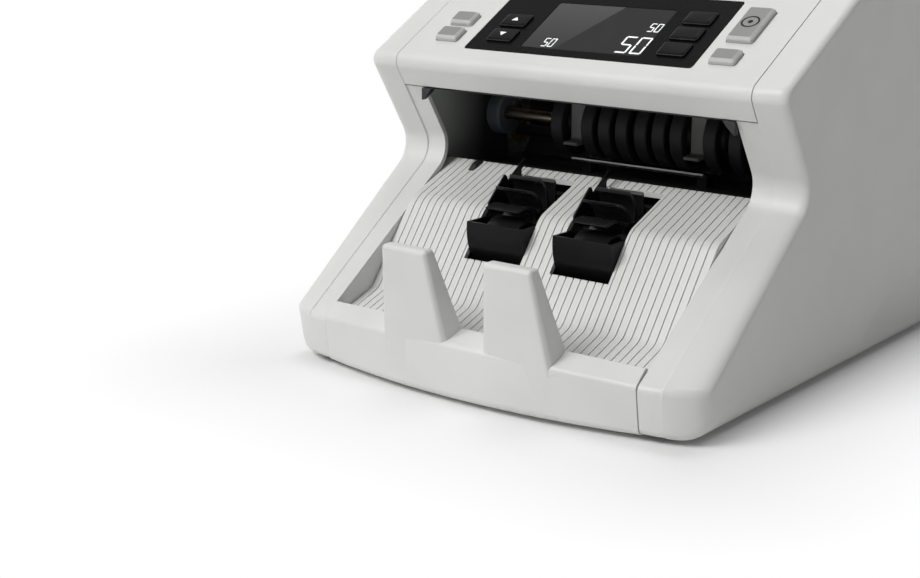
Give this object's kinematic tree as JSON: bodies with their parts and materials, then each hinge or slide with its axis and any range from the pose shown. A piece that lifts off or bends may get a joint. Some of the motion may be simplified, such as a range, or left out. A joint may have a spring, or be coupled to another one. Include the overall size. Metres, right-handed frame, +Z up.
{
  "type": "banknote counter",
  "caption": "Desktop banknote counter with a sloped display panel, rear hopper, ringed transport drum and an open front stacker bay with vaned wheels and note stops",
  "frame": {"origin": "middle of the footprint box, on the table under the rubber feet", "axes": "front with the note stops faces -Y, +X is to the right seen from the front, +Z is up"},
  "size_m": [0.25, 0.299, 0.2079],
  "materials": {
    "housing": "fine satin moulded plastic, light warm grey",
    "inner_dark": "matt black inner plastic",
    "bay_grey": "matt dark grey sheet",
    "panel_black": "gloss black display panel",
    "window": "dark smoked window",
    "key_grey": "satin mid grey keys",
    "key_black": "satin black keys",
    "roller_rubber": "charcoal rubber",
    "roller_blue": "bluish grey rubber",
    "foot_rubber": "black rubber",
    "steel": "ground steel",
    "sheet_steel": "zinc-plated sheet",
    "bronze": "sintered bronze",
    "pulley": "black acetal",
    "board": "green circuit board",
    "motor_case": "grey motor can",
    "belt": "black toothed belt"
  },
  "bodies": {
    "housing": {"base_tray": "inner_dark", "rubber_feet": "foot_rubber", "cover_screws": "steel", "left_side_cover": "housing", "right_side_cover": "housing", "control_panel": "housing", "display_panel": "panel_black", "display_window": "window", "key_board": "board", "front_bar": "housing", "stacker_deck": "housing", "wheel_shrouds": "inner_dark", "bay_walls": "bay_grey", "bay_ceiling": "inner_dark", "bay_liner": "inner_dark", "left_frame_plate": "sheet_steel", "right_frame_plate": "sheet_steel", "tie_bars": "steel", "bearings": "bronze", "stripper_fingers": "bay_grey", "guide_plate": "sheet_steel", "drive_motor": "motor_case", "drive_belts": "belt", "retard_holder": "inner_dark", "retard_pad": "roller_rubber", "top_cover": "housing", "hopper_tray": "housing", "guide_rail": "steel", "back_panel": "housing", "power_inlet": "inner_dark", "circuit_boards": "board"},
    "transport": {"transport_shaft": "steel", "transport_rings": "roller_rubber", "edge_roller": "roller_blue", "transport_pulley": "pulley"},
    "motor_rotor": {"motor_pulley": "pulley"},
    "stacker": {"stacker_shaft": "steel", "stacker_wheels": "roller_rubber"},
    "pinch": {"pinch_roller": "roller_rubber"},
    "feed": {"feed_shaft": "steel", "feed_rollers": "roller_rubber", "feed_pulleys": "pulley"},
    "pickup": {"pickup_shaft": "steel", "pickup_rollers": "roller_rubber", "pickup_pulley": "pulley"},
    "left_guide": {"left_note_guide": "key_grey"},
    "right_guide": {"right_note_guide": "key_grey"},
    "gap_adjuster": {"gap_knob": "key_grey"},
    "rear_door": {"rear_cover": "housing"},
    "rocker": {"power_switch": "key_black"},
    "key_left_upper_body": {"key_left_upper": "key_grey"},
    "key_left_lower_body": {"key_left_lower": "key_grey"},
    "key_up_body": {"key_up": "key_black"},
    "key_down_body": {"key_down": "key_black"},
    "key_mode_upper_body": {"key_mode_upper": "key_black"},
    "key_mode_middle_body": {"key_mode_middle": "key_black"},
    "key_mode_lower_body": {"key_mode_lower": "key_black"},
    "key_start_body": {"key_start": "key_grey"},
    "key_clear_body": {"key_clear": "key_grey"}
  },
  "joints": [
    {"name": "transport_spin", "type": "hinge", "parent": "housing", "child": "transport", "pos_m": [0, 0.0207, 0.1141], "axis": [1, 0, 0], "continuous": true},
    {"name": "motor_spin", "type": "hinge", "parent": "housing", "child": "motor_rotor", "pos_m": [0, 0.0751, 0.058], "axis": [1, 0, 0], "continuous": true},
    {"name": "stacker_spin", "type": "hinge", "parent": "housing", "child": "stacker", "pos_m": [0, -0.0529, 0.071], "axis": [1, 0, 0], "continuous": true},
    {"name": "pinch_spin", "type": "hinge", "parent": "housing", "child": "pinch", "pos_m": [0, 0.04304, 0.1012], "axis": [1, 0, 0], "continuous": true},
    {"name": "feed_spin", "type": "hinge", "parent": "housing", "child": "feed", "pos_m": [0, 0.0441, 0.14198], "axis": [1, 0, 0], "continuous": true},
    {"name": "pickup_spin", "type": "hinge", "parent": "housing", "child": "pickup", "pos_m": [0, 0.08013, 0.15587], "axis": [1, 0, 0], "continuous": true},
    {"name": "key_left_upper_press", "type": "slide", "parent": "housing", "child": "key_left_upper_body", "axis": [0, 0.4802, -0.8771], "range_m": [0, 0.001], "stiffness_N_per_m": 500, "springref_m": -0.0008},
    {"name": "key_left_lower_press", "type": "slide", "parent": "housing", "child": "key_left_lower_body", "axis": [0, 0.4802, -0.8771], "range_m": [0, 0.001], "stiffness_N_per_m": 500, "springref_m": -0.0008},
    {"name": "key_up_press", "type": "slide", "parent": "housing", "child": "key_up_body", "axis": [0, 0.4802, -0.8771], "range_m": [0, 0.001], "stiffness_N_per_m": 500, "springref_m": -0.0008},
    {"name": "key_down_press", "type": "slide", "parent": "housing", "child": "key_down_body", "axis": [0, 0.4802, -0.8771], "range_m": [0, 0.001], "stiffness_N_per_m": 500, "springref_m": -0.0008},
    {"name": "key_mode_upper_press", "type": "slide", "parent": "housing", "child": "key_mode_upper_body", "axis": [0, 0.4802, -0.8771], "range_m": [0, 0.001], "stiffness_N_per_m": 500, "springref_m": -0.0008},
    {"name": "key_mode_middle_press", "type": "slide", "parent": "housing", "child": "key_mode_middle_body", "axis": [0, 0.4802, -0.8771], "range_m": [0, 0.001], "stiffness_N_per_m": 500, "springref_m": -0.0008},
    {"name": "key_mode_lower_press", "type": "slide", "parent": "housing", "child": "key_mode_lower_body", "axis": [0, 0.4802, -0.8771], "range_m": [0, 0.001], "stiffness_N_per_m": 500, "springref_m": -0.0008},
    {"name": "key_start_press", "type": "slide", "parent": "housing", "child": "key_start_body", "axis": [0, 0.4802, -0.8771], "range_m": [0, 0.001], "stiffness_N_per_m": 500, "springref_m": -0.0008},
    {"name": "key_clear_press", "type": "slide", "parent": "housing", "child": "key_clear_body", "axis": [0, 0.4802, -0.8771], "range_m": [0, 0.001], "stiffness_N_per_m": 500, "springref_m": -0.0008},
    {"name": "left_guide_slide", "type": "slide", "parent": "housing", "child": "left_guide", "axis": [-1, 0, 0], "range_m": [-0.03, 0.004]},
    {"name": "right_guide_slide", "type": "slide", "parent": "housing", "child": "right_guide", "axis": [1, 0, 0], "range_m": [-0.03, 0.004]},
    {"name": "gap_knob_turn", "type": "hinge", "parent": "housing", "child": "gap_adjuster", "pos_m": [0, 0.0411, 0.2], "axis": [0, 0, 1], "range_deg": [-135, 135]},
    {"name": "rear_cover_hinge", "type": "hinge", "parent": "housing", "child": "rear_door", "pos_m": [0, 0.146, 0.082], "axis": [-1, 0, 0], "range_deg": [0, 75]},
    {"name": "power_rocker", "type": "hinge", "parent": "housing", "child": "rocker", "pos_m": [-0.03, 0.1439, 0.036], "axis": [1, 0, 0], "range_deg": [-14, 0]}
  ],
  "couplings": [
    {"joint": "motor_spin", "follows": "transport_spin", "ratio": 1.5},
    {"joint": "stacker_spin", "follows": "transport_spin", "ratio": 1.7308},
    {"joint": "feed_spin", "follows": "transport_spin", "ratio": 1.125},
    {"joint": "pickup_spin", "follows": "transport_spin", "ratio": 1.125},
    {"joint": "pinch_spin", "follows": "transport_spin", "ratio": -2.6429}
  ]
}
